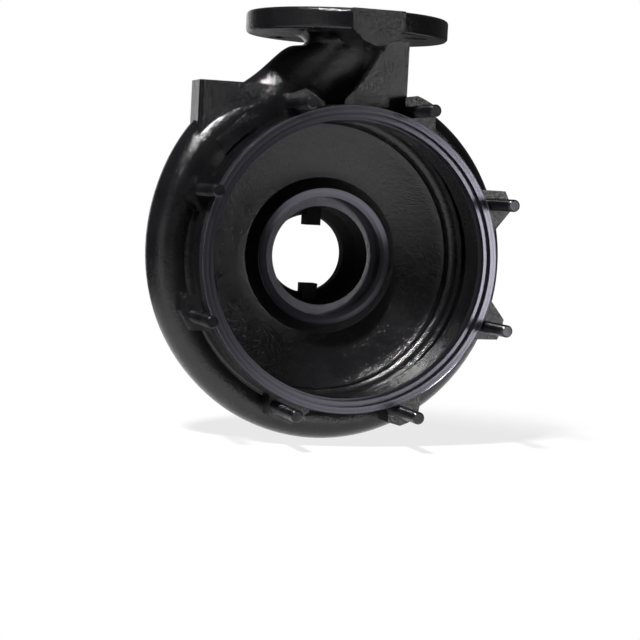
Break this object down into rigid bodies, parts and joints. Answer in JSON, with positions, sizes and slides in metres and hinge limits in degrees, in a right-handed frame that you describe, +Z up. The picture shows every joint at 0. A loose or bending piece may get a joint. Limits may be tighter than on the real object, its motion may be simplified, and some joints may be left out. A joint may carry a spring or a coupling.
{
  "type": "volute pump casing",
  "caption": "Cast volute casing of an end-suction pump, with a scroll around an open chamber, a swan-neck discharge flange on top and studs around the cover rim.",
  "frame": {"origin": "centre of the rim's front face, on the pump axis", "axes": "+Y along the pump axis from the open cover side to the suction flange, +Z up to the discharge flange, +X to the right seen from the cover side"},
  "size_m": [0.3053, 0.1826, 0.3515],
  "materials": {
    "casing": "black paint over a grainy casting, seats and faces machined bare",
    "studs": "dark glossy steel"
  },
  "bodies": {
    "root": {"pump_casing": "casing", "studs": "studs"}
  },
  "joints": []
}
